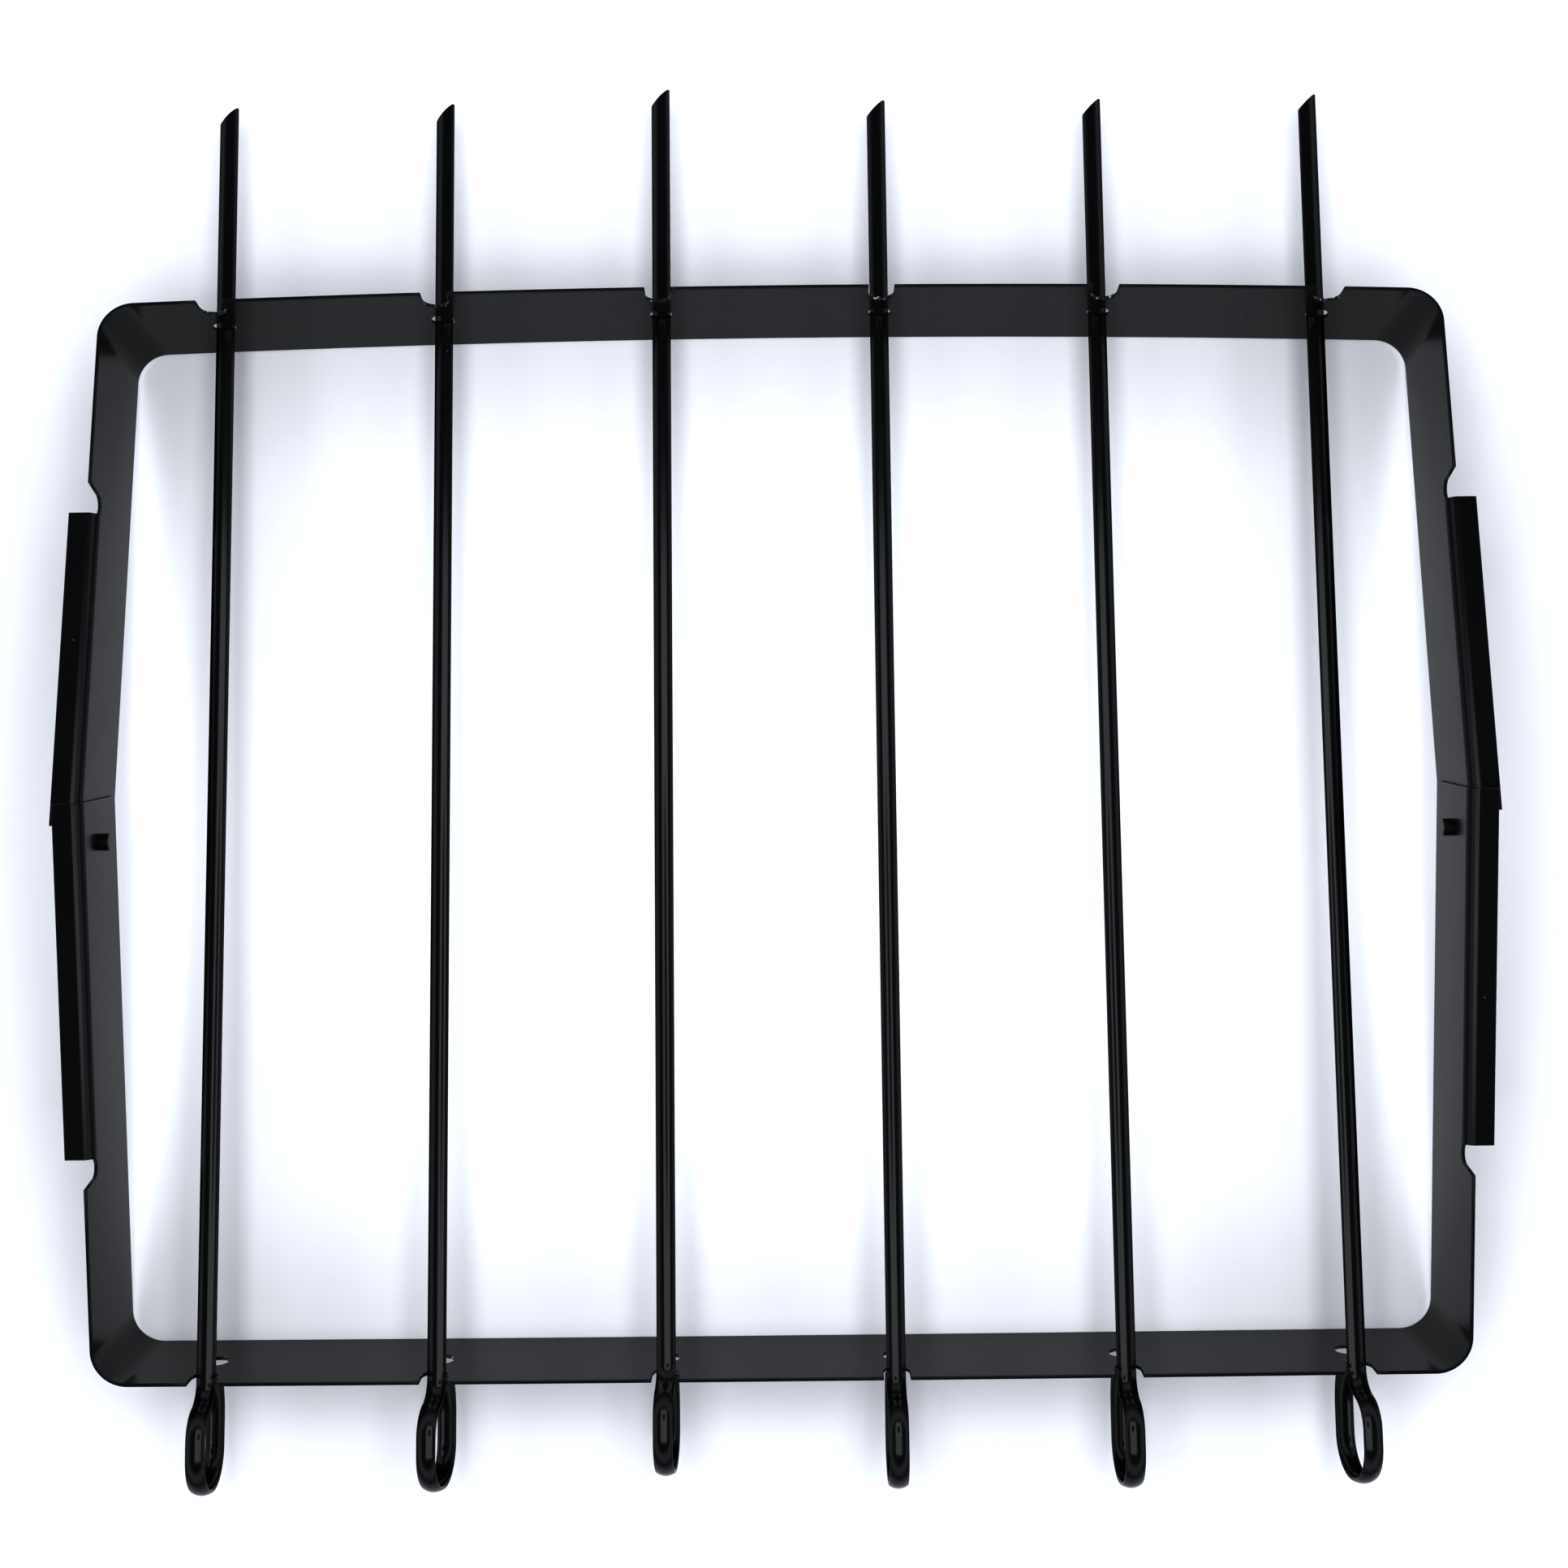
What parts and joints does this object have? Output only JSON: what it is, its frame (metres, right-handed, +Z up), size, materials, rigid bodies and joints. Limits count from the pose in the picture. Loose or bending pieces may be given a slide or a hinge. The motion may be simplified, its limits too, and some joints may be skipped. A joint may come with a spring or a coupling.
{
  "type": "kebab skewer rack",
  "caption": "Folding kebab rack for a grill: hinged sheet-metal frame halves with notched bars that carry flat looped skewers.",
  "frame": {"origin": "centre of the bounding box, at the level of the surface the rack stands on", "axes": "+Z up, +Y from the skewers' handle loops towards their tips, +X to the right seen from the handle end; X is the fold axis"},
  "size_m": [0.3936, 0.4015, 0.0501],
  "materials": {
    "frame_enamel": "gloss",
    "skewer_enamel": "gloss",
    "rivet_enamel": "gloss"
  },
  "bodies": {
    "near_half": {"near_frame": "frame_enamel", "left_hinge_rivet": "rivet_enamel", "right_hinge_rivet": "rivet_enamel"},
    "far_half": {"far_frame": "frame_enamel"},
    "skewer_1": {"skewer_1": "skewer_enamel"},
    "skewer_2": {"skewer_2": "skewer_enamel"},
    "skewer_3": {"skewer_3": "skewer_enamel"},
    "skewer_4": {"skewer_4": "skewer_enamel"},
    "skewer_5": {"skewer_5": "skewer_enamel"},
    "skewer_6": {"skewer_6": "skewer_enamel"}
  },
  "joints": [
    {"name": "fold_hinge", "type": "hinge", "parent": "near_half", "child": "far_half", "pos_m": [0, -0.02095, 0.0329], "axis": [-1, 0, 0], "range_deg": [0, 155]},
    {"name": "skewer_1_slide", "type": "slide", "parent": "far_half", "child": "skewer_1", "axis": [0, -0.9993, 0.0384], "range_m": [-0.002, 0.36]},
    {"name": "skewer_2_slide", "type": "slide", "parent": "far_half", "child": "skewer_2", "axis": [0, -0.9992, 0.0388], "range_m": [-0.002, 0.36]},
    {"name": "skewer_3_slide", "type": "slide", "parent": "far_half", "child": "skewer_3", "axis": [0, -0.9992, 0.0389], "range_m": [-0.002, 0.36]},
    {"name": "skewer_4_slide", "type": "slide", "parent": "far_half", "child": "skewer_4", "axis": [0, -0.9992, 0.0389], "range_m": [-0.002, 0.36]},
    {"name": "skewer_5_slide", "type": "slide", "parent": "far_half", "child": "skewer_5", "axis": [0, -0.9992, 0.0388], "range_m": [-0.002, 0.36]},
    {"name": "skewer_6_slide", "type": "slide", "parent": "far_half", "child": "skewer_6", "axis": [0, -0.9993, 0.0384], "range_m": [-0.002, 0.36]}
  ]
}
